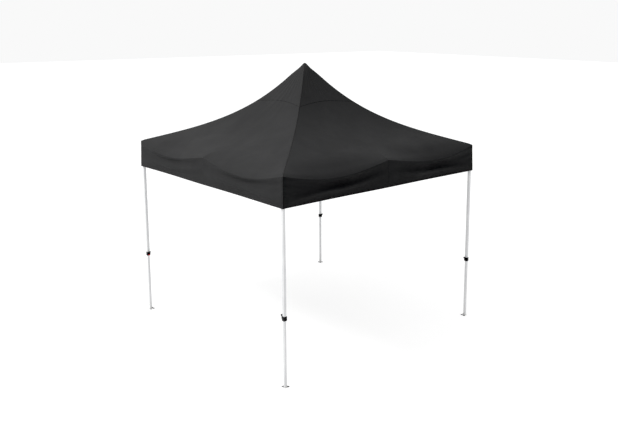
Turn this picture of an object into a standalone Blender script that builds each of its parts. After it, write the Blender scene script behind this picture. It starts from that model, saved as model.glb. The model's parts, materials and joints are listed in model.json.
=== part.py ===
"""Pop-up canopy, 3 m by 3 m: a folding scissor frame on four telescopic legs under a peaked fabric cover.

Metres, +Z up. The origin is on the ground under the peak. -Y is the front and +X is the right.
"""

import math

import bmesh
import bpy
from mathutils import Matrix, Vector

# ---- driving dimensions ----
LEG_HALF_SPACING = 1.478
EAVE_HALF = 1.500
EAVE_Z = 2.280
PEAK_Z = 3.285
HEM_Z = 1.944
CLOTH = 0.001
GAP = 0.0003

# the truss: every bar has the same length, with a pivot at each end and one at its middle
TOP_PIVOT_Z = 2.240
BAR_SPAN = 1.408
REST_ANGLE = math.radians(10.0)
BAR_LENGTH = BAR_SPAN / math.cos(REST_ANGLE)
LOW_PIVOT_Z = TOP_PIVOT_Z - BAR_LENGTH * math.sin(REST_ANGLE)
HUB_PIN = 0.036
SIDE_PIN_IN = 0.034
SIDE_PIN = 0.026
CORNER_PIN = 0.044
BAR_WIDTH = 0.024
BAR_THICK = 0.010
BAR_WALL = 0.0008
BAR_OFFSET = 0.0065
PIN_R = 0.004
BORE_R = 0.0045
LUG_THICK = 0.0097
LUG_HALF_HEIGHT = 0.013
LUG_REACH = 0.009
PIN_PROUD = 0.0015

# hubs and mast
HUB_HALF = 0.0215
HUB_HEIGHT = 0.046
HUB_BORE_R = 0.0135
MAST_R = 0.0125
MAST_BORE_R = 0.01025
MAST_BOTTOM_Z = 2.100
MAST_CAP_R = 0.021
MAST_CAP_TOP_Z = PEAK_Z - 0.021
GUIDE_R = 0.0095
GUIDE_TOP_Z = 2.550

# legs
OUTER_LEG = 0.030
OUTER_BORE = 0.028
OUTER_BOTTOM_Z = 0.762
OUTER_TOP_Z = 2.260
INNER_LEG = 0.025
INNER_BORE = 0.023
INNER_TOP_Z = 1.050
FOOT = 0.059
FOOT_INWARD = 0.0075
FOOT_THICK = 0.003
STAKE_HOLE_R = 0.004
STAKE_HOLE_AT = 0.0215
ADJUST_HOLE_R = 0.0045
ADJUST_HOLE_Z = 0.662

# corner fittings
BRACKET_HALF = 0.0190
BRACKET_LOW_Z = 2.212
BRACKET_TOP_Z = 2.268
SLIDER_HALF = 0.0195
SLIDER_HEIGHT = 0.056
SLIDER_CLEAR = 0.0006

# leg collar and its lever
COLLAR_HALF = 0.0190
COLLAR_LOW_Z = 0.744
COLLAR_TOP_Z = 0.791
EAR_AT = 0.0255
LEVER_WIDTH = 0.024
LEVER_THICK = 0.006
LEVER_LENGTH = 0.036
LEVER_TILT = math.radians(60.0)
LEVER_PIVOT_Z = 0.772
BUTTON_WIDTH = 0.016
BUTTON_HEIGHT = 0.011
BUTTON_Z = 0.7525
BUTTON_PROUD = 0.0025

# cover shape: the hip line is a straight slope plus a steeper rise near the peak
SLOPE_RISE = 0.510
PEAK_POWER = 3.5
PEAK_ROUND = 0.015
EAVE_SAG = 0.075
SAG_REACH = 7.0
COVER_RINGS = (0.03, 0.07, 0.14, 0.26, 0.42, 0.62, 0.82, 0.94, 1.0)
COVER_PER_SIDE = 10

SIDES = {"right": 0, "rear": 1, "left": 2, "front": 3}
CORNERS = {"rear_right": 0, "rear_left": 1, "front_left": 2, "front_right": 3}
# quarter turns of each leg's collar about the leg: the rear left one faces along the left side
COLLAR_TURN = {"rear_right": 0, "rear_left": -1, "front_left": 0, "front_right": 0}
HALVES = {"ccw": 1, "cw": -1}
ROUND_STEPS = 10


# ---- mesh building ----
def add_block(bm, size, centre):
    made = bmesh.ops.create_cube(bm, size=1.0)["verts"]
    bmesh.ops.scale(bm, vec=Vector(size), verts=made)
    bmesh.ops.translate(bm, vec=Vector(centre), verts=made)


def add_rod(bm, radius, start, end, steps=ROUND_STEPS, end_radius=None):
    start, end = Vector(start), Vector(end)
    axis = end - start
    turn = axis.to_track_quat("Z", "Y").to_matrix().to_4x4()
    place = Matrix.Translation((start + end) / 2) @ turn
    second = radius if end_radius is None else end_radius
    bmesh.ops.create_cone(
        bm, cap_ends=True, segments=steps, radius1=radius, radius2=second, depth=axis.length, matrix=place
    )


def add_lathe(bm, outside, inside, steps):
    """A round body from its (radius, z) outline: outside runs up from the open end, and inside runs down."""
    rings = []
    for radius, z in outside + inside:
        angles = [2.0 * math.pi * k / steps for k in range(steps)]
        rings.append([bm.verts.new((radius * math.cos(a), radius * math.sin(a), z)) for a in angles])
    top = len(outside) - 1
    bm.faces.new(rings[top])
    bm.faces.new(rings[top + 1])
    wall = [*zip(rings[:top], rings[1 : top + 1]), *zip(rings[top + 1 :], rings[top + 2 :] + rings[:1])]
    for near, far in wall:
        for k in range(steps):
            after = (k + 1) % steps
            bm.faces.new((near[k], near[after], far[after], far[k]))


def mesh_of(name, build):
    """A mesh made by build(bm), with its faces pointing out."""
    bm = bmesh.new()
    build(bm)
    bmesh.ops.recalc_face_normals(bm, faces=bm.faces)
    mesh = bpy.data.meshes.new(name)
    bm.to_mesh(mesh)
    bm.free()
    return mesh


def combined(name, base, adds=(), cuts=()):
    """The base shape, with each shape in adds joined to it and then each one in cuts taken away."""
    body = bpy.data.objects.new(name + "_base", mesh_of(name, base))
    bpy.context.scene.collection.objects.link(body)
    helpers = []
    for operation, shapes in (("UNION", adds), ("DIFFERENCE", cuts)):
        for shape in shapes:
            helper = bpy.data.objects.new(name + "_tool", mesh_of(name + "_tool", shape))
            bpy.context.scene.collection.objects.link(helper)
            helpers.append(helper)
            modifier = body.modifiers.new("join", "BOOLEAN")
            modifier.operation = operation
            modifier.solver = "EXACT"
            modifier.object = helper
    graph = bpy.context.evaluated_depsgraph_get()
    mesh = bpy.data.meshes.new_from_object(body.evaluated_get(graph))
    mesh.name = name
    for helper in [*helpers, body]:
        bpy.data.objects.remove(helper, do_unlink=True)
    return mesh


def block(size, centre):
    return lambda bm: add_block(bm, size, centre)


def rod(radius, start, end, steps=ROUND_STEPS, end_radius=None):
    return lambda bm: add_rod(bm, radius, start, end, steps, end_radius)


def smooth_round(mesh, angle=35.0):
    mesh.shade_smooth()
    mesh.set_sharp_from_angle(angle=math.radians(angle))
    return mesh


def material(name, colour, roughness, metallic=0.0):
    made = bpy.data.materials.new(name)
    made.use_nodes = True
    shader = made.node_tree.nodes["Principled BSDF"]
    shader.inputs["Base Color"].default_value = (*colour, 1.0)
    shader.inputs["Roughness"].default_value = roughness
    shader.inputs["Metallic"].default_value = metallic
    made.diffuse_color = (*colour, 1.0)
    return made


def place(name, mesh, matrix, look):
    """A new object that shows the mesh at the matrix, with its own copy of the material."""
    made = bpy.data.objects.new(name, mesh)
    bpy.context.scene.collection.objects.link(made)
    made.matrix_world = matrix
    if not mesh.materials:
        mesh.materials.append(None)
    made.material_slots[0].link = "OBJECT"
    own = look.copy()
    own.name = name
    made.material_slots[0].material = own
    return made


def quarter_turn(count):
    return Matrix.Rotation(count * math.pi / 2, 4, "Z")


# ---- truss bars: X along the bar, Y across its thickness, Z across its width ----
def add_bar(bm, start):
    """A flat bar with round ends, from X = start to start + BAR_LENGTH."""
    steps = 4
    outline = []
    for centre, first in ((start + BAR_LENGTH, -90), (start, 90)):
        for k in range(steps + 1):
            angle = math.radians(first + 180 * k / steps)
            outline.append((centre + BAR_WIDTH / 2 * math.cos(angle), BAR_WIDTH / 2 * math.sin(angle)))
    low = [bm.verts.new((x, -BAR_THICK / 2, z)) for x, z in outline]
    high = [bm.verts.new((x, BAR_THICK / 2, z)) for x, z in outline]
    bm.faces.new(low)
    bm.faces.new(high)
    for k in range(len(outline)):
        after = (k + 1) % len(outline)
        bm.faces.new((low[k], low[after], high[after], high[k]))


def bores(places):
    """The tube's hollow, open at both ends, and a bore through it at each of the places along X."""
    hollow = (4 * BAR_LENGTH, BAR_THICK - 2 * BAR_WALL, BAR_WIDTH - 2 * BAR_WALL)
    return [block(hollow, (0, 0, 0)), *(rod(BORE_R, (x, -BAR_THICK, 0), (x, BAR_THICK, 0)) for x in places)]


def driven_bar(pin_side):
    """Origin at its end pivot. It carries the middle pivot's pin, which points along Y * pin_side."""
    far = 2 * BAR_OFFSET + BAR_THICK / 2 + PIN_PROUD
    middle = BAR_LENGTH / 2
    pin = rod(PIN_R, (middle, 0, 0), (middle, pin_side * far, 0))
    bar = combined("driven_bar", lambda bm: add_bar(bm, 0.0), [pin], bores((0.0, BAR_LENGTH)))
    return smooth_round(bar)


def crossing_bar():
    """Origin at its middle pivot, with a bore at each end and one in the middle."""
    half = BAR_LENGTH / 2
    bar = combined("crossing_bar", lambda bm: add_bar(bm, -half), cuts=bores((-half, 0.0, half)))
    return smooth_round(bar)


def bar_matrix(pivot, direction, tilt, across):
    """Places a bar on its pivot: along direction, tilted down by tilt, with Y along across."""
    along = direction * math.cos(tilt) + Vector((0, 0, -math.sin(tilt)))
    up = along.cross(across)
    columns = Matrix((along, across, up)).transposed().to_4x4()
    return Matrix.Translation(pivot) @ columns


def add_lug(adds, along, across, root, pin_at, pin_side):
    """Adds a lug that reaches out along a direction, and its pin. The bar is on the pin_side of the lug."""
    along, across = Vector(along), Vector(across)
    reach = pin_at + LUG_REACH
    middle = along * (root + reach) / 2 + across * pin_side * (0.0012 - LUG_THICK / 2)
    size = [
        abs(along[k]) * (reach - root) + abs(across[k]) * LUG_THICK + 2 * LUG_HALF_HEIGHT * (k == 2)
        for k in range(3)
    ]
    adds.append(block(size, middle))
    far = BAR_OFFSET + BAR_THICK / 2 + PIN_PROUD
    foot = along * pin_at
    adds.append(rod(PIN_R, foot - across * pin_side * 0.004, foot + across * pin_side * far))


def hub_mesh(name, bar_side, adds=(), cuts=()):
    """A hub with four lugs. The bars are on the bar_side of each lug, seen along the arm."""
    joined = list(adds)
    for turn in range(4):
        arm = quarter_turn(turn) @ Vector((1, 0, 0))
        side = quarter_turn(turn) @ Vector((0, 1, 0))
        add_lug(joined, arm, side, HUB_HALF - 0.004, HUB_PIN, bar_side)
    body = combined(name, block((2 * HUB_HALF, 2 * HUB_HALF, HUB_HEIGHT), (0, 0, 0)), joined, cuts)
    return smooth_round(body)


def upper_hub_mesh():
    bore = rod(HUB_BORE_R, (0, 0, -HUB_HEIGHT), (0, 0, HUB_HEIGHT), 16)
    return hub_mesh("upper_hub", 1, cuts=[bore])


def lower_hub_mesh():
    guide = rod(GUIDE_R, (0, 0, 0), (0, 0, GUIDE_TOP_Z - LOW_PIVOT_Z), 16)
    return hub_mesh("lower_hub", -1, adds=[guide])


def mast_mesh():
    """A tube with a domed plastic cap, open at the bottom. Its origin is at the upper hub's centre."""
    low = MAST_BOTTOM_Z - TOP_PIVOT_Z
    top = MAST_CAP_TOP_Z - TOP_PIVOT_Z
    shoulder = top - MAST_CAP_R
    outside = [(MAST_BORE_R, low), (MAST_R, low), (MAST_R, shoulder - 0.03), (MAST_CAP_R, shoulder - 0.03)]
    outside += [(MAST_CAP_R, shoulder), (0.7 * MAST_CAP_R, top - 0.008), (0.2 * MAST_CAP_R, top)]
    inside = [(MAST_BORE_R, shoulder - 0.04)]
    return smooth_round(mesh_of("mast", lambda bm: add_lathe(bm, outside, inside, 16)), 50)


def connector_mesh(name, bar_side, arm_side):
    """Mid-side fitting, for the right side: X points out, Y along the side, origin on its inner pin.

    Its plate holds two side bars on the bar_side of the truss plane, and its lug holds one arm bar.
    """
    plane = SIDE_PIN_IN
    plate_x = plane + bar_side * (0.0012 - LUG_THICK / 2)
    plate = block((LUG_THICK, 2 * (SIDE_PIN + LUG_REACH), 2 * LUG_HALF_HEIGHT), (plate_x, 0, 0))
    adds = []
    far = plane + bar_side * (BAR_OFFSET + BAR_THICK / 2 + PIN_PROUD)
    for y in (-SIDE_PIN, SIDE_PIN):
        adds.append(rod(PIN_R, (plane - bar_side * 0.004, y, 0), (far, y, 0)))
    root = plate_x - 0.001
    lug_y = arm_side * (0.0012 - LUG_THICK / 2)
    size = (root + LUG_REACH, LUG_THICK, 2 * LUG_HALF_HEIGHT)
    adds.append(block(size, ((root - LUG_REACH) / 2, lug_y, 0)))
    pin_end = arm_side * (BAR_OFFSET + BAR_THICK / 2 + PIN_PROUD)
    adds.append(rod(PIN_R, (0, -arm_side * 0.004, 0), (0, pin_end, 0)))
    return smooth_round(combined(name, plate, adds))


# ---- corner fittings, for the rear right corner: their sides run towards -X and -Y ----
def corner_lugs(bar_side, root):
    adds = []
    add_lug(adds, (0, -1, 0), (1, 0, 0), root, CORNER_PIN, bar_side)
    add_lug(adds, (-1, 0, 0), (0, 1, 0), root, CORNER_PIN, bar_side)
    return adds


def bracket_mesh():
    """The cap on top of an outer leg. Its origin is on the leg's axis at the pivots' height."""
    low = BRACKET_LOW_Z - TOP_PIVOT_Z
    top = BRACKET_TOP_Z - TOP_PIVOT_Z
    roof = OUTER_TOP_Z + GAP - TOP_PIVOT_Z
    shell = block((2 * BRACKET_HALF, 2 * BRACKET_HALF, top - low), (0, 0, (low + top) / 2))
    socket = OUTER_LEG + 2 * GAP
    hollow = block((socket, socket, roof - low + 0.02), (0, 0, (roof + low - 0.02) / 2))
    return smooth_round(combined("corner_bracket", shell, corner_lugs(-1, BRACKET_HALF - 0.003), [hollow]))


def slider_mesh():
    """The sleeve that runs on an outer leg. Its origin is on the leg's axis at the pivots' height."""
    middle = SLIDER_HEIGHT / 2 - LUG_HALF_HEIGHT
    sleeve = block((2 * SLIDER_HALF, 2 * SLIDER_HALF, SLIDER_HEIGHT), (0, 0, middle))
    socket = OUTER_LEG + 2 * SLIDER_CLEAR
    hollow = block((socket, socket, 2 * SLIDER_HEIGHT), (0, 0, middle))
    return smooth_round(combined("slider", sleeve, corner_lugs(1, SLIDER_HALF - 0.003), [hollow]))


def outer_leg_mesh():
    """Square tube, open at both ends. Its origin is on its axis at the top pivots' height."""
    low = OUTER_BOTTOM_Z - TOP_PIVOT_Z
    top = OUTER_TOP_Z - TOP_PIVOT_Z
    height = top - low
    tube = block((OUTER_LEG, OUTER_LEG, height), (0, 0, (low + top) / 2))
    hollow = block((OUTER_BORE, OUTER_BORE, 2 * height), (0, 0, 0))
    return combined("outer_leg", tube, cuts=[hollow])


def inner_leg_mesh():
    """Square tube on a welded foot plate that reaches further inward. Its origin is on the ground."""
    tube = block((INNER_LEG, INNER_LEG, INNER_TOP_Z - 0.001), (0, 0, (INNER_TOP_Z + 0.001) / 2))
    plate = block((FOOT, FOOT, FOOT_THICK), (-FOOT_INWARD, -FOOT_INWARD, FOOT_THICK / 2))
    hollow_low = FOOT_THICK + 0.002
    hollow = block((INNER_BORE, INNER_BORE, INNER_TOP_Z), (0, 0, hollow_low + INNER_TOP_Z / 2))
    face_hole = rod(ADJUST_HOLE_R, (0, -0.5 * INNER_BORE, ADJUST_HOLE_Z), (0, -INNER_LEG, ADJUST_HOLE_Z))
    cuts = [hollow, face_hole]
    inner, outer = -FOOT_INWARD - STAKE_HOLE_AT, -FOOT_INWARD + STAKE_HOLE_AT
    for x, y in ((inner, inner), (inner, outer), (outer, inner)):
        cuts.append(rod(STAKE_HOLE_R, (x, y, -0.01), (x, y, 0.01), 8))
    return combined("inner_leg", tube, [plate], cuts)


def collar_mesh():
    """Height lock round the outer leg's lower end, with the lever's ears and a release button.

    The inner leg runs through its narrower floor.
    """
    height = COLLAR_TOP_Z - COLLAR_LOW_Z
    shell = block((2 * COLLAR_HALF, 2 * COLLAR_HALF, height), (0, 0, height / 2))
    step = OUTER_BOTTOM_Z - GAP - COLLAR_LOW_Z
    wide = OUTER_LEG + 2 * GAP
    narrow = INNER_LEG + 0.001
    ears = []
    ear_x = (LEVER_WIDTH + 0.004) / 2 + 0.0005
    pivot_z = LEVER_PIVOT_Z - COLLAR_LOW_Z
    root, tip = COLLAR_HALF - 0.002, EAR_AT + 0.004
    for x in (-ear_x, ear_x):
        ears.append(block((0.004, tip - root, 0.014), (x, -(root + tip) / 2, pivot_z - 0.002)))
    button = (BUTTON_WIDTH, BUTTON_HEIGHT, BUTTON_PROUD)
    for width, tall, proud in (button, (0.012, 0.002, BUTTON_PROUD + 0.001)):
        reach = COLLAR_HALF + proud - root
        ears.append(block((width, reach, tall), (0, -root - reach / 2, BUTTON_Z - COLLAR_LOW_Z)))
    cuts = [
        block((wide, wide, height), (0, 0, step + height / 2)),
        block((narrow, narrow, 3 * height), (0, 0, 0)),
    ]
    return smooth_round(combined("leg_collar", shell, ears, cuts))


def lever_mesh():
    """Release lever. Its origin is on its pivot axis, which runs along X; it leans out towards -Y."""
    across = Vector((0, -math.cos(LEVER_TILT), math.sin(LEVER_TILT)))
    boss = rod(0.0042, (-LEVER_WIDTH / 2, 0, 0), (LEVER_WIDTH / 2, 0, 0))

    def blade(bm):
        add_block(bm, (LEVER_WIDTH, LEVER_LENGTH, LEVER_THICK), (0, -LEVER_LENGTH / 2, 0))
        turn = Matrix.Rotation(-LEVER_TILT, 3, "X")
        bmesh.ops.rotate(bm, cent=(0, 0, 0), matrix=turn, verts=bm.verts)

    def thumb_pad(bm):
        end = across * (LEVER_LENGTH - 0.003)
        add_rod(bm, 0.0045, end - Vector((LEVER_WIDTH / 2, 0, 0)), end + Vector((LEVER_WIDTH / 2, 0, 0)))

    return smooth_round(combined("collar_lever", boss, [blade, thumb_pad]))


# ---- cover ----
def hip_height(distance):
    """Height of the roof over a point this far out, measured along a side's middle line."""
    rounded = max(0.0, distance - PEAK_ROUND * (1.0 - distance / EAVE_HALF))
    inward = 1.0 - min(rounded / EAVE_HALF, 1.0)
    steep = PEAK_Z - EAVE_Z - SLOPE_RISE
    return EAVE_Z + SLOPE_RISE * inward + steep * inward**PEAK_POWER


def eave_drop(along):
    """How far the eave sags at a place along the side: 0 at its middle, 1 at a corner."""
    return EAVE_SAG * math.sin(math.pi * abs(along) ** 1.15)


def ring_point(share, k):
    """Place of point k on a square ring: which side it is on, and where along it, from -1 to 1."""
    side, step = divmod(k, COVER_PER_SIDE)
    along = 2.0 * step / COVER_PER_SIDE - 1.0
    return quarter_turn(side) @ Vector((share * EAVE_HALF, along * share * EAVE_HALF, 0)), along


def add_cover(bm):
    """A closed shell: the roof and its hanging valance, with an inner surface one cloth inside it."""
    count = 4 * COVER_PER_SIDE
    surfaces = []
    for inside in (0, 1):
        shrink = (EAVE_HALF - inside * CLOTH) / EAVE_HALF
        rings = []
        for share in COVER_RINGS:
            slope = (hip_height(share * EAVE_HALF - 0.01) - hip_height(share * EAVE_HALF)) / 0.01
            thick = inside * CLOTH * (1.0 + abs(slope))
            ring = []
            for k in range(count):
                point, along = ring_point(share, k)
                point *= shrink
                point.z = hip_height(share * EAVE_HALF) - thick - eave_drop(along) * share**SAG_REACH
                ring.append(bm.verts.new(point))
            rings.append(ring)
        for share in (0.5, 1.0):
            ring = []
            for k in range(count):
                point, along = ring_point(1.0, k)
                point *= shrink
                eave = EAVE_Z - inside * CLOTH - eave_drop(along)
                point.z = eave + (HEM_Z - eave) * share
                ring.append(bm.verts.new(point))
            rings.append(ring)
        peak = bm.verts.new((0, 0, hip_height(0.0) - inside * 2.0 * CLOTH))
        surfaces.append((peak, rings))
    for peak, rings in surfaces:
        for k in range(count):
            after = (k + 1) % count
            bm.faces.new((peak, rings[0][k], rings[0][after]))
            for near, far in zip(rings, rings[1:]):
                bm.faces.new((near[k], far[k], far[after], near[after]))
    outer_hem, inner_hem = surfaces[0][1][-1], surfaces[1][1][-1]
    for k in range(count):
        after = (k + 1) % count
        bm.faces.new((outer_hem[k], inner_hem[k], inner_hem[after], outer_hem[after]))


# ---- assembly ----
def clear_scene():
    for found in list(bpy.data.objects):
        bpy.data.objects.remove(found, do_unlink=True)


def build_centre(looks):
    centre = Matrix.Translation((0, 0, TOP_PIVOT_Z))
    place("upper_hub", upper_hub_mesh(), centre, looks["plastic"])
    place("lower_hub", lower_hub_mesh(), Matrix.Translation((0, 0, LOW_PIVOT_Z)), looks["plastic"])
    place("mast", mast_mesh(), centre, looks["paint"])


def build_arms(looks):
    """The four crossed pairs between the centre hubs and the middles of the sides."""
    hub_bar, lift_bar = driven_bar(-1), crossing_bar()
    upper = connector_mesh("side_connector_upper", 1, -1)
    lower = connector_mesh("side_connector_lower", -1, 1)
    inner_pin = LEG_HALF_SPACING - SIDE_PIN_IN
    for side, turn in SIDES.items():
        out = quarter_turn(turn) @ Vector((1, 0, 0))
        along = quarter_turn(turn) @ Vector((0, 1, 0))
        up = Vector((0, 0, 1))
        start = out * HUB_PIN + up * TOP_PIVOT_Z + along * BAR_OFFSET
        place(f"hub_bar_{side}", hub_bar, bar_matrix(start, out, REST_ANGLE, along), looks["paint"])
        middle = out * (HUB_PIN + BAR_SPAN / 2) + up * (TOP_PIVOT_Z + LOW_PIVOT_Z) / 2 - along * BAR_OFFSET
        place(f"lift_bar_{side}", lift_bar, bar_matrix(middle, out, -REST_ANGLE, along), looks["paint"])
        for name, mesh, height in (("upper", upper, TOP_PIVOT_Z), ("lower", lower, LOW_PIVOT_Z)):
            spot = Matrix.Translation(out * inner_pin + up * height) @ quarter_turn(turn)
            place(f"side_connector_{name}_{side}", mesh, spot, looks["plastic"])


def build_side_trusses(looks):
    """Two crossed pairs on each side, from the middle of the side to each corner."""
    slider_bar, corner_bar = driven_bar(-1), crossing_bar()
    middle_z = (TOP_PIVOT_Z + LOW_PIVOT_Z) / 2
    for side, turn in SIDES.items():
        out = quarter_turn(turn) @ Vector((1, 0, 0))
        for half, sign in HALVES.items():
            along = quarter_turn(turn) @ Vector((0, sign, 0))
            outer = out * (LEG_HALF_SPACING + BAR_OFFSET)
            inner = out * (LEG_HALF_SPACING - BAR_OFFSET)
            start = outer + along * SIDE_PIN + Vector((0, 0, TOP_PIVOT_Z))
            spot = bar_matrix(start, along, REST_ANGLE, out)
            place(f"slider_bar_{side}_{half}", slider_bar, spot, looks["paint"])
            middle = inner + along * (SIDE_PIN + BAR_SPAN / 2) + Vector((0, 0, middle_z))
            spot = bar_matrix(middle, along, -REST_ANGLE, out)
            place(f"corner_bar_{side}_{half}", corner_bar, spot, looks["paint"])


def build_legs(looks):
    meshes = (
        ("outer_leg", outer_leg_mesh(), TOP_PIVOT_Z, "paint"),
        ("corner_bracket", bracket_mesh(), TOP_PIVOT_Z, "plastic"),
        ("slider", slider_mesh(), LOW_PIVOT_Z, "plastic"),
        ("inner_leg", inner_leg_mesh(), 0.0, "paint"),
    )
    collar, lever = collar_mesh(), lever_mesh()
    for corner, turn in CORNERS.items():
        leg = quarter_turn(turn) @ Matrix.Translation((LEG_HALF_SPACING, LEG_HALF_SPACING, 0))
        for name, mesh, height, look in meshes:
            place(f"{name}_{corner}", mesh, leg @ Matrix.Translation((0, 0, height)), looks[look])
        lock = leg @ quarter_turn(COLLAR_TURN[corner])
        spot = lock @ Matrix.Translation((0, 0, COLLAR_LOW_Z))
        place(f"leg_collar_{corner}", collar, spot, looks["plastic"])
        pivot = lock @ Matrix.Translation((0, -EAR_AT, LEVER_PIVOT_Z))
        place(f"collar_lever_{corner}", lever, pivot, looks["plastic"])


def build_cover(looks):
    mesh = smooth_round(mesh_of("cover", add_cover), 30)
    place("cover", mesh, Matrix.Identity(4), looks["fabric"])


def main():
    clear_scene()
    looks = {
        "paint": material("paint", (0.86, 0.87, 0.88), 0.35),
        "plastic": material("plastic", (0.03, 0.03, 0.032), 0.45),
        "fabric": material("fabric", (0.035, 0.035, 0.037), 0.85),
    }
    build_centre(looks)
    build_arms(looks)
    build_side_trusses(looks)
    build_legs(looks)
    build_cover(looks)


main()
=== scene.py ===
"""The pop-up canopy's looks: cover, seams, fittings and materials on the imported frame. Metres, +Z up."""

import json
import math

import bmesh
import bpy
from mathutils import Matrix, Vector

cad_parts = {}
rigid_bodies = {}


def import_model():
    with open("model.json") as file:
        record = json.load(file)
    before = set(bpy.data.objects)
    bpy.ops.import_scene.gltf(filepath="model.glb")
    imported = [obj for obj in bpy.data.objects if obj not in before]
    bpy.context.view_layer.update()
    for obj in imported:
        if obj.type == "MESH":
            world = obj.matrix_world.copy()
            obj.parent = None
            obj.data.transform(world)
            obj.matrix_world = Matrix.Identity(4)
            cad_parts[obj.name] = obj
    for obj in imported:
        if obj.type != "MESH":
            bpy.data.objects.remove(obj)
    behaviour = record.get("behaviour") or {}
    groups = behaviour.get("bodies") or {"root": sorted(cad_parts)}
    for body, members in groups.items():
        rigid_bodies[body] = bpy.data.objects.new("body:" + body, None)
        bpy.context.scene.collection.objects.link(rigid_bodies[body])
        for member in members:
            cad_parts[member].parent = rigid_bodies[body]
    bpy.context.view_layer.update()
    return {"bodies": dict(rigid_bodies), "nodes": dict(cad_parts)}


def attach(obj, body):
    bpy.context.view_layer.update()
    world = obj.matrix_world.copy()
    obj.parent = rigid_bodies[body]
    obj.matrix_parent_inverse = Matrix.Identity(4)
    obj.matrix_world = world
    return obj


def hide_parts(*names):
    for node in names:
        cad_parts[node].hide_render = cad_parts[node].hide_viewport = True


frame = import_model()

# ---- dimensions ----
# the cover, frame and legs, as in part.py
EAVE_HALF = 1.500
EAVE_Z = 2.280
PEAK_Z = 3.285
HEM_Z = 1.944
SLOPE_RISE = 0.510
PEAK_POWER = 3.5
PEAK_ROUND = 0.024
LEG = 1.478
TOP_PIVOT_Z = 2.240
BAR_SPAN = 1.408
REST_ANGLE = math.radians(10.0)
LOW_PIVOT_Z = TOP_PIVOT_Z - BAR_SPAN * math.tan(REST_ANGLE)
MIDDLE_Z = (TOP_PIVOT_Z + LOW_PIVOT_Z) / 2
HUB_PIN = 0.036
SIDE_PIN = 0.026
BAR_FACE = 0.0115
INNER_LEG = 0.025
FOOT_THICK = 0.003
FOOT_INWARD = 0.0075
STAKE_HOLE_AT = 0.0215
ADJUST_HOLE_Z = 0.662
COLLAR_HALF = 0.0190
BUTTON_Z = 0.7525
EAR_AT = 0.0255
LEVER_PIVOT_Z = 0.772
LEVER_TILT = math.radians(60.0)
SIDES = ("right", "rear", "left", "front")
CORNERS = ("rear_right", "rear_left", "front_left", "front_right")
TUBES = ("hub_bar", "lift_bar", "slider_bar", "corner_bar", "outer_leg", "inner_leg", "mast")

# the fittings that only the looks have
SKIN = 0.0001
RIVET_R = 0.0075
RIVET_HEIGHT = 0.0032
EDGE_WIDTH = 0.0006
STAKE_HOLE_R = 0.0043
GROMMET_R = 0.0105
GROMMET_HEIGHT = 0.0024
GROMMET_EDGE = 0.0006
WELD_SIZE = 0.0035
WELD_OVERLAP = 0.0004
SNAP_R = 0.0043
SNAP_HEIGHT = 0.0012
SNAP_INSET = 0.0008
BUTTON_SIZE = (0.0172, 0.0040, 0.0122)
BUTTON_PROUD = 0.0019
LEVER_SIZE = (0.0246, 0.0180, 0.0110)
LEVER_PLACE = (0, -0.0275, -0.0020)
PAD_EDGE = 0.0011

# how the cover's cloth lies
MIDDLE_SAG = 0.014
ROOF_HOLLOW = 0.016
PEAK_PULL = 0.0022
EAVE_STRAIN = 0.0030
FOLD_SAG = 0.096
FOLD_REACH = 0.30
FOLD_BULGE = 0.021
FOLD_TUCK = 0.005
EDGE_DROP = 0.006
EDGE_REACH = 0.045
EDGE_SCALE = 1.13
VALANCE_BULGE = 0.021
HEM_FLARE = 0.002
CORNER_FLARE = 0.007
CAP_SEAM = 0.378
CAP_BOW = 0.055
PLEAT_DEPTH = 0.035
PLEATS = 7
COLUMNS = 64
MAX_HOOK = 0.999
CROWDING = 0.72

# the cover's cloth and seams
CLOTH_COLOUR = (0.0385, 0.0385, 0.0389)
WEAVE = 420.0
STITCH_PITCH = 0.0045
DIAGONAL = 0.7071
HEM_SEAM = 0.012

# the camera, fitted to the photo's view: focal length for a picture PICTURE_WIDTH wide, then
# yaw, pitch and roll in degrees
FOCAL_LENGTH = 751.09
PICTURE_WIDTH = 618.0
CAMERA_PLACE = (-5.9256, -7.3856, 3.8181)
CAMERA_ANGLES = (47.178, 10.368, 0.343)
CAMERA_SHIFT = (-0.0795, -0.1017)
BLACK_LEVEL = 0.043


def quarter(k):
    return Matrix.Rotation(k * math.pi / 2, 4, "Z")


def smooth(low, high, x):
    s = min(1.0, max(0.0, (x - low) / (high - low)))
    return s * s * (3.0 - 2.0 * s)


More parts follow.
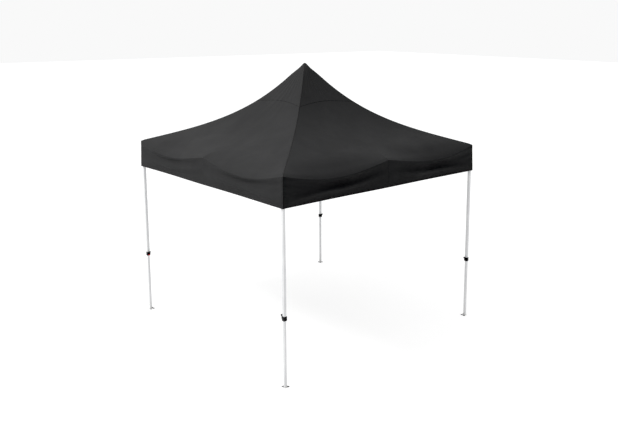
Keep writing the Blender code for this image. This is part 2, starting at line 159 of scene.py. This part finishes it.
# ---- materials ----
class Nodes:
    """A short way to build one material's node tree."""

    def __init__(self, name):
        self.material = bpy.data.materials.new(name)
        self.material.use_nodes = True
        self.tree = self.material.node_tree
        self.shader = self.tree.nodes["Principled BSDF"]
        self.place = self.add("TexCoord").outputs["Object"]

    def add(self, kind, **settings):
        node = self.tree.nodes.new("ShaderNode" + kind)
        for key, value in settings.items():
            setattr(node, key, value)
        return node

    def link(self, source, target):
        if isinstance(source, bpy.types.NodeSocket):
            self.tree.links.new(source, target)
        else:
            target.default_value = source

    def set(self, name, value):
        self.link(value, self.shader.inputs[name])

    def stretched(self, scale, turn=(0, 0, 0)):
        node = self.add("Mapping")
        self.link(self.place, node.inputs["Vector"])
        node.inputs["Scale"].default_value = scale
        node.inputs["Rotation"].default_value = turn
        return node.outputs["Vector"]

    def noise(self, scale, detail=2.0, rough=0.5, place=None, distortion=0.0):
        node = self.add("TexNoise")
        self.link(place or self.place, node.inputs["Vector"])
        node.inputs["Scale"].default_value = scale
        node.inputs["Detail"].default_value = detail
        node.inputs["Roughness"].default_value = rough
        node.inputs["Distortion"].default_value = distortion
        return node.outputs["Fac"]

    def wave(self, direction, scale):
        node = self.add("TexWave", bands_direction=direction)
        self.link(self.place, node.inputs["Vector"])
        node.inputs["Scale"].default_value = scale
        return node.outputs["Fac"]

    def math(self, operation, *values):
        node = self.add("Math", operation=operation)
        for k, value in enumerate(values):
            self.link(value, node.inputs[k])
        return node.outputs[0]

    def spread(self, value, low, high, to_low=0.0, to_high=1.0):
        node = self.add("MapRange")
        self.link(value, node.inputs["Value"])
        for key, number in zip(("From Min", "From Max", "To Min", "To Max"), (low, high, to_low, to_high)):
            node.inputs[key].default_value = number
        return node.outputs["Result"]

    def mix(self, share, first, second):
        node = self.add("Mix", data_type="RGBA")
        self.link(share, node.inputs["Factor"])
        for key, value in (("A", first), ("B", second)):
            socket = next(i for i in node.inputs if i.name == key and i.type == "RGBA")
            self.link(value if isinstance(value, bpy.types.NodeSocket) else (*value, 1.0), socket)
        return next(o for o in node.outputs if o.type == "RGBA")

    def rest_place(self, low, high):
        """Uses the place on the unfolded cloth, so that seams and weave stay with it as it gathers."""
        node = self.add("Mapping")
        self.link(self.add("TexCoord").outputs["Generated"], node.inputs["Vector"])
        node.inputs["Scale"].default_value = high - low
        node.inputs["Location"].default_value = low
        self.place = node.outputs["Vector"]

    def parts(self):
        split = self.add("SeparateXYZ")
        self.link(self.place, split.inputs[0])
        return split.outputs["X"], split.outputs["Y"], split.outputs["Z"]

    def bump(self, height, distance, strength=1.0, below=None):
        node = self.add("Bump")
        node.inputs["Strength"].default_value = strength
        node.inputs["Distance"].default_value = distance
        self.link(height, node.inputs["Height"])
        if below is not None:
            self.link(below, node.inputs["Normal"])
        return node.outputs["Normal"]


def seams(n):
    """Felled seams on the hips, round the peak, down each side and along the hem.

    Gives four masks, each from 0 to 1: raised seams, a painted shadow beside them, stitches, and the
    corner piping, which is raised and also painted lighter as a painted highlight.
    """
    x, y, z = n.parts()
    across, along = n.math("ABSOLUTE", x), n.math("ABSOLUTE", y)
    out, near = n.math("MAXIMUM", across, along), n.math("MINIMUM", across, along)
    hip = n.math("MULTIPLY", n.math("SUBTRACT", out, near), DIAGONAL)
    bow = n.math("POWER", n.math("DIVIDE", near, n.math("MAXIMUM", out, 0.01)), 2.0)
    cap = n.math("SUBTRACT", n.math("SUBTRACT", out, CAP_SEAM), n.math("MULTIPLY", bow, CAP_BOW))
    side = n.math("ADD", near, n.spread(out, EAVE_HALF - 0.040, EAVE_HALF - 0.030, 1.0, 0.0))
    hem = n.math("ABSOLUTE", n.math("SUBTRACT", z, HEM_Z + HEM_SEAM))
    run = n.math("ADD", n.math("ADD", x, n.math("MULTIPLY", y, 1.31)), n.math("MULTIPLY", z, 0.87))
    dash = n.spread(n.math("SINE", n.math("MULTIPLY", run, 2.0 * math.pi / STITCH_PITCH)), -0.25, 0.15)
    height, shadow, stitch = 0.0, 0.0, 0.0
    kinds = ((hip, 0.005, 0.6), (cap, 0.006, 1.0), (side, 0.004, 0.35), (hem, 0.014, 0.3))
    for distance, half, depth in kinds:
        raised = n.spread(distance, half, half - 0.0012)
        beside = n.math("ABSOLUTE", n.math("SUBTRACT", distance, half))
        edge = n.spread(beside, 0.0032, 0.0012, 0.0, depth)
        inset = n.math("ABSOLUTE", n.math("SUBTRACT", distance, half - 0.0035))
        row = n.spread(inset, 0.0009, 0.0005)
        height = n.math("MAXIMUM", height, raised)
        shadow = n.math("MAXIMUM", shadow, edge)
        stitch = n.math("MAXIMUM", stitch, row)
    below_eave = n.spread(z, EAVE_Z + 0.012, EAVE_Z + 0.004)
    # corner piping: a raised cord, which cover_cloth also paints lighter as a painted highlight
    piping_and_highlight = n.math("MULTIPLY", n.spread(hip, 0.0042, 0.0030), below_eave)
    return height, shadow, n.math("MULTIPLY", stitch, dash), piping_and_highlight


def cover_cloth(name, colour, low, high):
    """The cover's cloth: the fabric on its unfolded shape, with sewn seams, a painted shadow beside them,
    and corner piping painted lighter as a highlight.
    """
    n = Nodes(name)
    n.rest_place(low, high)
    base, normal = weave_of(n, colour)
    height, shadow, stitch, piping_and_highlight = seams(n)
    normal = n.bump(n.math("ADD", height, piping_and_highlight), 0.0010, 0.8, normal)
    normal = n.bump(stitch, 0.0005, 0.5, normal)
    base = n.mix(n.math("MULTIPLY", shadow, 0.5), base, tuple(c * 0.25 for c in colour))
    base = n.mix(n.math("MULTIPLY", stitch, 0.5), base, tuple(c * 1.6 for c in colour))
    # painted highlight: the corner piping is drawn 1.5 times lighter than the cloth
    n.set("Base Color", n.mix(n.math("MULTIPLY", piping_and_highlight, 0.9), base, tuple(c * 1.5 for c in colour)))
    n.set("Normal", normal)
    return n.material


def weave_of(n, colour):
    """Matte coated polyester: plain weave, soft dents, faint packing creases and uneven dye."""
    threads = n.math("ADD", n.wave("X", WEAVE), n.wave("Y", WEAVE))
    threads = n.math("ADD", threads, n.wave("Z", WEAVE))
    dents = n.noise(3.2, 3.0, 0.5, distortion=0.3)
    folds = n.noise(1.1, 2.0, 0.5, n.stretched((1.0, 1.0, 0.5), (0.4, 0.3, 0.7)))
    creases = n.spread(n.noise(1.6, 1.0, 0.5, n.stretched((1.0, 1.0, 1.6), (0.2, 0.5, 0.1))), 0.488, 0.512)
    normal = n.bump(dents, 0.004, 0.35)
    normal = n.bump(creases, 0.0005, 0.15, normal)
    normal = n.bump(threads, 0.0001, 0.2, normal)
    light = tuple(c * 1.03 for c in colour)
    dark = tuple(c * 0.975 for c in colour)
    n.set("Roughness", n.spread(dents, 0.3, 0.7, 0.74, 0.86))
    n.set("Sheen Weight", 0.03)
    n.set("Sheen Roughness", 0.45)
    n.set("Specular IOR Level", 0.18)
    return n.mix(n.spread(folds, 0.3, 0.7), dark, light), normal


def powder_coat(name):
    """White powder coat: fine orange peel, dust low down and faint scuffs along the tube."""
    n = Nodes(name)
    peel = n.noise(520.0, 2.0, 0.5)
    scuff = n.noise(34.0, 3.0, 0.6, n.stretched((1.0, 1.0, 0.05)))
    marks = n.spread(scuff, 0.64, 0.72)
    low = n.spread(n.parts()[2], 0.16, 0.0, 0.0, 0.30)
    dust = n.math("MULTIPLY", low, n.noise(26.0, 4.0, 0.65))
    tone = n.mix(n.spread(n.noise(7.0, 3.0), 0.35, 0.65), (0.63, 0.635, 0.64), (0.59, 0.595, 0.605))
    tone = n.mix(n.math("MULTIPLY", marks, 0.35), tone, (0.52, 0.52, 0.51))
    n.set("Base Color", n.mix(dust, tone, (0.30, 0.27, 0.23)))
    n.set("Roughness", n.spread(scuff, 0.3, 0.7, 0.34, 0.50))
    n.set("Normal", n.bump(peel, 0.00025, 0.3))
    return n.material


def plastic(name, colour, rough):
    """Moulded nylon: a fine grain, and flow marks that are a little paler."""
    n = Nodes(name)
    grain = n.noise(900.0, 2.0, 0.6)
    flow = n.noise(38.0, 3.0, 0.6, n.stretched((1.0, 1.0, 0.4)))
    pale = tuple(min(1.0, c * 1.4 + 0.003) for c in colour)
    n.set("Specular IOR Level", 0.3)
    n.set("Base Color", n.mix(n.spread(flow, 0.45, 0.75, 0.0, 0.6), colour, pale))
    n.set("Roughness", n.spread(flow, 0.3, 0.7, rough - 0.08, rough + 0.10))
    n.set("Normal", n.bump(grain, 0.00012, 0.4))
    return n.material


def metal(name, colour=(0.62, 0.62, 0.63), rough=0.32):
    """Zinc-plated steel with a faint spangle."""
    n = Nodes(name)
    spangle = n.noise(160.0, 3.0, 0.6)
    dark = tuple(c * 0.8 for c in colour)
    n.set("Base Color", n.mix(n.spread(spangle, 0.35, 0.65), dark, colour))
    n.set("Metallic", 1.0)
    n.set("Roughness", n.spread(spangle, 0.3, 0.7, rough - 0.07, rough + 0.12))
    n.set("Normal", n.bump(spangle, 0.0001, 0.25))
    return n.material


# the cover's own material needs its box, so build_cover makes it
LOOKS = {
    "cloth": None,
    "paint": powder_coat("white_powder_coat"),
    "nylon": plastic("black_nylon", (0.020, 0.020, 0.021), 0.58),
    "red": plastic("red_button", (0.55, 0.05, 0.05), 0.38),
    "steel": metal("zinc_steel"),
}


# ---- making pieces ----
def piece(name, bm, look, body, round_angle=40.0):
    """A new piece made of bm, that rides on the body. Edges sharper than round_angle stay sharp."""
    bmesh.ops.recalc_face_normals(bm, faces=bm.faces)
    mesh = bpy.data.meshes.new(name)
    bm.to_mesh(mesh)
    bm.free()
    mesh.shade_smooth()
    mesh.set_sharp_from_angle(angle=math.radians(round_angle))
    if LOOKS[look]:
        mesh.materials.append(LOOKS[look])
    made = bpy.data.objects.new(name, mesh)
    bpy.context.scene.collection.objects.link(made)
    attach(made, body)
    return made


def add_dome(bm, centre, out, radius, height, rings=3, steps=16):
    """A low dome on a surface: centre is the middle of its base, and out is the way it stands."""
    out = Vector(out).normalized()
    side = out.orthogonal().normalized()
    other = out.cross(side)
    centre = Vector(centre)
    loops = []
    for k in range(rings + 1):
        angle = math.pi / 2 * k / (rings + 1)
        r, h = radius * math.cos(angle), height * math.sin(angle)
        loop = []
        for j in range(steps):
            a = 2 * math.pi * j / steps
            loop.append(bm.verts.new(centre + out * h + (side * math.cos(a) + other * math.sin(a)) * r))
        loops.append(loop)
    tip = bm.verts.new(centre + out * height)
    for j in range(steps):
        after = (j + 1) % steps
        for low, high in zip(loops, loops[1:]):
            bm.faces.new((low[j], low[after], high[after], high[j]))
        bm.faces.new((loops[-1][j], loops[-1][after], tip))
    bm.faces.new(loops[0][::-1])


# ---- cover ----
def hip_height(distance):
    """Height of the hips at this distance from the middle, measured square to the side."""
    rounded = math.hypot(distance, PEAK_ROUND) - PEAK_ROUND
    inward = 1.0 - min(rounded / (math.hypot(EAVE_HALF, PEAK_ROUND) - PEAK_ROUND), 1.0)
    steep = PEAK_Z - EAVE_Z - SLOPE_RISE
    return EAVE_Z + SLOPE_RISE * inward + steep * inward**PEAK_POWER


def eave_wave(t):
    """How far the eave sags at place t along a side: 0 at the middle and at the corners, 1 between."""
    return math.sin(math.pi * abs(t) ** 1.08)


def eave_height(t):
    """Height of the edge between roof and valance at place t, from -1 to 1 along a side."""
    return EAVE_Z - EDGE_DROP - MIDDLE_SAG * (1.0 - t * t) - FOLD_SAG * eave_wave(t)


def roof_height(distance, t):
    """Roof height at this distance out, measured square to the side, and place t along it."""
    share = distance / EAVE_HALF
    z = hip_height(distance) - MIDDLE_SAG * (1.0 - t * t) * share
    z -= ROOF_HOLLOW * (1.0 - t * t) * math.sin(math.pi * min(1.0, share)) ** 1.5
    start = EAVE_HALF - FOLD_REACH
    over = max(0.0, (distance - start) / FOLD_REACH)
    z -= FOLD_SAG * eave_wave(t) * over**2.6
    z -= EDGE_DROP * smooth(EAVE_HALF - EDGE_REACH, EAVE_HALF + 0.010, distance) * EDGE_SCALE
    pull = math.exp(-((distance / 0.42) ** 2)) * smooth(0.02, 0.10, distance)
    z += PEAK_PULL * pull * math.cos(9.0 * math.pi * t) * (1.0 - t * t)
    strain = smooth(0.55, 0.95, share) * (1.0 - over**3)
    z += EAVE_STRAIN * strain * math.cos(5.0 * math.pi * t) * (1.0 - t * t)
    return z


def hump(x, middle, width):
    """A smooth bump of height 1."""
    return math.exp(-(((x - middle) / width) ** 2))


def valance_out(t, drop):
    """How far out the valance hangs, at drop from 0 at the eave to 1 at the hem."""
    wave = max(0.0, eave_wave(t)) ** 0.8
    near = smooth(0.55, 0.98, abs(t))
    crest = 0.56 + 0.20 * near - 0.06 * smooth(0.0, 0.3, 0.4 - abs(t))
    out = EAVE_HALF + (HEM_FLARE + CORNER_FLARE * smooth(0.7, 1.0, abs(t))) * drop
    out += wave * FOLD_BULGE * hump(max(0.0, drop - 0.02), 0.0, 0.13)
    out -= wave * FOLD_TUCK * hump(drop, 0.26, 0.11)
    out += wave * VALANCE_BULGE * hump(drop, crest, 0.12)
    out -= wave * 0.004 * hump(drop, 0.90, 0.08)
    pinch = math.exp(-(((1.0 - abs(t)) / 0.10) ** 2)) * smooth(0.0, 0.02, 1.0 - abs(t))
    out += 0.0025 * pinch * math.sin(26.0 * drop + 5.0 * abs(t))
    out += 0.0030 * math.sin(7.0 * t + 2.0 * drop) * drop * drop * (1.0 - t**6)
    return out


def column_places():
    """Places along a side from -1 to 1, closer together at the corners and at the middle."""
    places = []
    for j in range(COLUMNS):
        s = -1.0 + 2.0 * j / COLUMNS
        places.append(s - CROWDING * math.sin(2.0 * math.pi * s) / (2.0 * math.pi))
    return places


# where the cover's rows of points lie: distances out from the peak, then shares of the valance's drop
ROOF_ROWS = [0.006, 0.014, 0.024, 0.036, 0.050, 0.070, 0.095, 0.125, 0.16, 0.20, 0.25, 0.30, 0.36]
ROOF_ROWS += [0.42, 0.49, 0.56, 0.64, 0.72, 0.80, 0.88, 0.96, 1.03, 1.10, 1.16, 1.21, 1.26, 1.30]
ROOF_ROWS += [1.335, 1.365, 1.39, 1.412, 1.43, 1.446, 1.46, 1.472, 1.482, 1.490, 1.496]
VALANCE_ROWS = [0.0, 0.012, 0.035, 0.07, 0.11, 0.155, 0.20, 0.245, 0.29, 0.34, 0.39, 0.445, 0.50]
VALANCE_ROWS += [0.56, 0.62, 0.68, 0.74, 0.80, 0.86, 0.915, 0.96, 1.0]


def roof_point(k, t, distance):
    """A point of the roof, on side k. Close to the peak the square rings become round."""
    over = smooth(EAVE_HALF - 0.10, EAVE_HALF, distance)
    out = distance + FOLD_BULGE * max(0.0, eave_wave(t)) ** 0.8 * over
    flat = Vector((out, t * out, 0.0))
    roundness = 1.0 - smooth(0.03, 0.12, distance)
    circle = Vector((math.cos(t * math.pi / 4), math.sin(t * math.pi / 4), 0.0)) * distance * 1.06
    point = flat.lerp(circle, roundness)
    point.z = roof_height(distance, t * (1.0 - roundness) + roundness)
    return quarter(k) @ point


def valance_point(k, t, drop):
    """A point of the valance, on side k, at drop from 0 at the eave to 1 at the hem."""
    out = valance_out(t, drop)
    top = eave_height(t)
    point = Vector((out, t * out, top + (HEM_Z - top) * drop))
    return quarter(k) @ point


def side_hooks(x, y, z):
    """How much of each leg's, side fitting's and the mast's travel the cloth takes at a point."""
    u = max(-1.0, min(1.0, x / EAVE_HALF))
    v = max(-1.0, min(1.0, y / EAVE_HALF))
    along, across = (v, u) if abs(u) >= abs(v) else (u, v)
    place = along / abs(across) if abs(across) > 1e-6 else 0.0
    depth = PLEAT_DEPTH * smooth(0.1, 0.8, abs(across)) * (0.7 + 0.3 * math.sin(2.3 * place + x + y))
    depth *= 1.0 - smooth(0.90, 0.96, abs(place))
    ease = 1.0 - depth * math.sin(math.pi * PLEATS * abs(place)) ** 2
    shares = {}
    for corner, sx, sy in zip(CORNERS, (1, -1, -1, 1), (1, 1, -1, -1)):
        shares["leg_" + corner] = ease * max(0.0, sx * u) * max(0.0, sy * v)
    for side, toward, off in zip(SIDES, (u, v, -u, -v), (v, u, v, u)):
        shares["side_connector_upper_" + side] = ease * max(0.0, toward) * (1.0 - abs(off))
    shares["mast"] = min(1.0, max(0.0, z - EAVE_Z) / (PEAK_Z - EAVE_Z)) * MAX_HOOK
    return shares


def gather(cloth):
    """Hooks the cloth to the frame, so that it gathers in pleats as the frame folds and closes in."""
    groups = {}
    for vert in cloth.data.vertices:
        for body, share in side_hooks(*vert.co).items():
            if share > 1e-5:
                if body not in groups:
                    groups[body] = cloth.vertex_groups.new(name=body)
                groups[body].add([vert.index], share, "REPLACE")
    for body in groups:
        hook = cloth.modifiers.new("follow_" + body, "HOOK")
        hook.object = frame["bodies"][body]
        hook.vertex_group = body
        hook.falloff_type = "NONE"
        hook.matrix_inverse = frame["bodies"][body].matrix_world.inverted()


def build_cover():
    """One sheet from the peak over the eaves to the hem. It replaces the CAD solid."""
    bm = bmesh.new()
    places = column_places()
    columns = [(k, t) for k in range(4) for t in places]
    rows = [[bm.verts.new(roof_point(k, t, r)) for k, t in columns] for r in ROOF_ROWS]
    rows += [[bm.verts.new(valance_point(k, t, d)) for k, t in columns] for d in VALANCE_ROWS]
    peak = bm.verts.new((0.0, 0.0, PEAK_Z))
    for j in range(len(columns)):
        after = (j + 1) % len(columns)
        bm.faces.new((peak, rows[0][j], rows[0][after]))
        for high, low in zip(rows, rows[1:]):
            bm.faces.new((high[j], low[j], low[after], high[after]))
    cover = piece("cover_sheet", bm, "cloth", "frame_head", 180.0)
    corners = [Vector(c) for c in cover.bound_box]
    low = Vector([min(c[k] for c in corners) for k in range(3)])
    high = Vector([max(c[k] for c in corners) for k in range(3)])
    cover.data.materials.append(cover_cloth("cover_cloth", CLOTH_COLOUR, low, high))
    gather(cover)
    surface = cover.modifiers.new("soften", "SUBSURF")
    surface.levels = surface.render_levels = 1
    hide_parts("cover")
    return cover


# ---- fittings ----
def add_ring(bm, centre, radius, bore, height, steps=20):
    """A flat washer round a hole in a foot plate. centre is the middle of its underside."""
    centre = Vector(centre)
    loops = []
    for r, h in ((bore, 0.0), (bore, height), (radius - GROMMET_EDGE, height),
                 (radius, height - GROMMET_EDGE), (radius, 0.0)):
        loop = []
        for j in range(steps):
            a = 2 * math.pi * j / steps
            loop.append(bm.verts.new(centre + Vector((r * math.cos(a), r * math.sin(a), h))))
        loops.append(loop)
    for low, high in zip(loops, loops[1:] + loops[:1]):
        for j in range(steps):
            after = (j + 1) % steps
            bm.faces.new((low[j], low[after], high[after], high[j]))


def add_weld(bm, centre, half, size):
    """A fillet bead round a square tube where it meets its plate."""
    centre = Vector(centre)
    loops = []
    bead = ((-WELD_OVERLAP, 0.0), (size, 0.0), (0.45 * size, 0.45 * size), (-WELD_OVERLAP, size))
    for grow, rise in bead:
        reach = half + grow
        corners = ((reach, reach), (-reach, reach), (-reach, -reach), (reach, -reach))
        loops.append([bm.verts.new(centre + Vector((x, y, rise))) for x, y in corners])
    for low, high in zip(loops, loops[1:] + loops[:1]):
        for j in range(4):
            after = (j + 1) % 4
            bm.faces.new((low[j], low[after], high[after], high[j]))


def add_pad(bm, size, centre, turn):
    """A block with rounded edges, of this size about centre, and then put in place by turn."""
    made = bmesh.ops.create_cube(bm, size=1.0)["verts"]
    for vert in made:
        vert.co = Vector([vert.co[k] * size[k] for k in range(3)])
    edges = list({edge for vert in made for edge in vert.link_edges})
    rounded = bmesh.ops.bevel(bm, geom=edges, offset=PAD_EDGE, segments=3, affect="EDGES", profile=0.5)
    for vert in {v for face in rounded["faces"] for v in face.verts} | {v for v in made if v.is_valid}:
        vert.co = turn @ (vert.co + Vector(centre))


def pin_heads(k, side):
    """Where each bar's rivets stand on side k: {bar: [(place, direction), ...]}."""
    out, along = quarter(k) @ Vector((1, 0, 0)), quarter(k) @ Vector((0, 1, 0))
    top, low, middle = Vector((0, 0, TOP_PIVOT_Z)), Vector((0, 0, LOW_PIVOT_Z)), Vector((0, 0, MIDDLE_Z))
    near, far = out * HUB_PIN, out * (HUB_PIN + BAR_SPAN)
    cross = out * (HUB_PIN + BAR_SPAN / 2) + middle
    heads = {
        "hub_bar_" + side: [(near + top, along), (far + low, along), (cross, along), (cross, -along)],
        "lift_bar_" + side: [(near + low, -along), (far + top, -along)],
    }
    for half, sign in (("ccw", 1), ("cw", -1)):
        near = out * LEG + along * sign * SIDE_PIN
        far = near + along * sign * BAR_SPAN
        cross = near + along * sign * BAR_SPAN / 2 + middle
        ends = [(near + top, out), (far + low, out)]
        heads[f"slider_bar_{side}_{half}"] = ends + [(cross, out), (cross, -out)]
        heads[f"corner_bar_{side}_{half}"] = [(near + low, -out), (far + top, -out)]
    return heads


def build_rivets():
    """A domed steel head over each pivot pin, on the outer face of the bar that it holds."""
    for k, side in enumerate(SIDES):
        for bar, heads in pin_heads(k, side).items():
            bm = bmesh.new()
            for place, way in heads:
                add_dome(bm, place + way * (BAR_FACE + SKIN), way, RIVET_R, RIVET_HEIGHT)
            piece("rivets_" + bar, bm, "steel", bar, 60.0)


def build_leg_fittings():
    """Each leg's grommets, foot weld and snap button, and its collar's push button and lever head."""
    for k, corner in enumerate(CORNERS):
        turn = quarter(k)
        leg = turn @ Vector((LEG, LEG, 0))
        bm = bmesh.new()
        inner, outer = -FOOT_INWARD - STAKE_HOLE_AT, -FOOT_INWARD + STAKE_HOLE_AT
        for x, y in ((inner, inner), (inner, outer), (outer, inner)):
            hole = leg + turn @ Vector((x, y, FOOT_THICK + SKIN))
            add_ring(bm, hole, GROMMET_R, STAKE_HOLE_R, GROMMET_HEIGHT)
        piece("grommets_" + corner, bm, "nylon", "inner_leg_" + corner)
        bm = bmesh.new()
        add_weld(bm, leg + Vector((0, 0, FOOT_THICK + SKIN)), INNER_LEG / 2, WELD_SIZE)
        piece("foot_weld_" + corner, bm, "paint", "inner_leg_" + corner)
        bm = bmesh.new()
        face = turn @ Vector((0, -1, 0))
        hole = leg + face * (INNER_LEG / 2 - SNAP_INSET) + Vector((0, 0, ADJUST_HOLE_Z))
        add_dome(bm, hole, face, SNAP_R, SNAP_HEIGHT)
        piece("snap_button_" + corner, bm, "steel", "inner_leg_" + corner, 60.0)
        bm = bmesh.new()
        facing = quarter(k - 1) if corner == "rear_left" else turn
        at = Matrix.Translation(leg) @ facing
        add_pad(bm, BUTTON_SIZE, (0, -COLLAR_HALF - BUTTON_PROUD, BUTTON_Z), at)
        look = "red" if corner == "rear_left" else "nylon"
        piece("push_button_" + corner, bm, look, "leg_" + corner, 50.0)
        bm = bmesh.new()
        pivot = at @ Matrix.Translation((0, -EAR_AT, LEVER_PIVOT_Z))
        tilt = pivot @ Matrix.Rotation(-LEVER_TILT, 4, "X")
        add_pad(bm, LEVER_SIZE, LEVER_PLACE, tilt)
        piece("lever_head_" + corner, bm, "nylon", "collar_lever_" + corner, 50.0)


def dress_nodes():
    """Gives each CAD node that still shows its material, and rounds the edges of the plastic ones."""
    for name, node in frame["nodes"].items():
        if node.hide_render:
            continue
        tube = name.startswith(TUBES)
        look = LOOKS["paint"] if tube else LOOKS["nylon"]
        for slot in node.material_slots:
            slot.material = look
        if not tube:
            edge = node.modifiers.new("edge", "BEVEL")
            edge.width = EDGE_WIDTH
            edge.segments = 2
            edge.limit_method = "ANGLE"
            edge.angle_limit = math.radians(50.0)


# ---- camera, light and floor ----
def build_camera():
    camera = bpy.data.cameras.new("camera")
    camera.sensor_width = 36.0
    camera.lens = FOCAL_LENGTH * camera.sensor_width / PICTURE_WIDTH
    camera.shift_x, camera.shift_y = CAMERA_SHIFT
    holder = bpy.data.objects.new("camera", camera)
    bpy.context.scene.collection.objects.link(holder)
    yaw, pitch, roll = (math.radians(a) for a in CAMERA_ANGLES)
    ahead = Vector((math.cos(yaw) * math.cos(pitch), math.sin(yaw) * math.cos(pitch), -math.sin(pitch)))
    right = Vector((math.sin(yaw), -math.cos(yaw), 0.0))
    up = right.cross(ahead)
    right, up = right * math.cos(roll) + up * math.sin(roll), up * math.cos(roll) - right * math.sin(roll)
    turn = Matrix((right, up, -ahead)).transposed().to_4x4()
    holder.matrix_world = Matrix.Translation(CAMERA_PLACE) @ turn
    bpy.context.scene.camera = holder


def build_light(name, place, target, size, power):
    light = bpy.data.lights.new(name, "AREA")
    light.shape = "DISK"
    light.size = size
    light.energy = power
    holder = bpy.data.objects.new(name, light)
    bpy.context.scene.collection.objects.link(holder)
    holder.location = place
    holder.rotation_mode = "QUATERNION"
    holder.rotation_quaternion = (Vector(target) - Vector(place)).to_track_quat("-Z", "Y")


def build_stage():
    world = bpy.data.worlds.new("studio")
    world.use_nodes = True
    shade = world.node_tree.nodes["Background"]
    shade.inputs["Color"].default_value = (1.0, 1.0, 1.0, 1.0)
    shade.inputs["Strength"].default_value = 0.95
    bpy.context.scene.world = world
    build_light("key", (-7.6, 1.0, 10.9), (0, 0, 2.3), 3.0, 930.0)
    bm = bmesh.new()
    bmesh.ops.create_grid(bm, x_segments=8, y_segments=8, size=60.0)
    mesh = bpy.data.meshes.new("floor")
    bm.to_mesh(mesh)
    bm.free()
    floor = bpy.data.objects.new("floor", mesh)
    floor.location = (0, 0, -0.001)
    bpy.context.scene.collection.objects.link(floor)
    n = Nodes("pale_floor")
    n.set("Base Color", n.mix(n.noise(0.8, 3.0), (0.33, 0.33, 0.33), (0.36, 0.36, 0.36)))
    n.set("Roughness", 0.8)
    n.set("Emission Color", (1.0, 1.0, 1.0, 1.0))
    n.set("Emission Strength", 0.72)
    mesh.materials.append(n.material)
    view = bpy.context.scene.view_settings
    view.view_transform = "Standard"
    view.use_curve_mapping = True
    view.curve_mapping.black_level = (BLACK_LEVEL,) * 3
    view.curve_mapping.update()


build_camera()
build_stage()
build_rivets()
build_leg_fittings()
cover_sheet = build_cover()
dress_nodes()
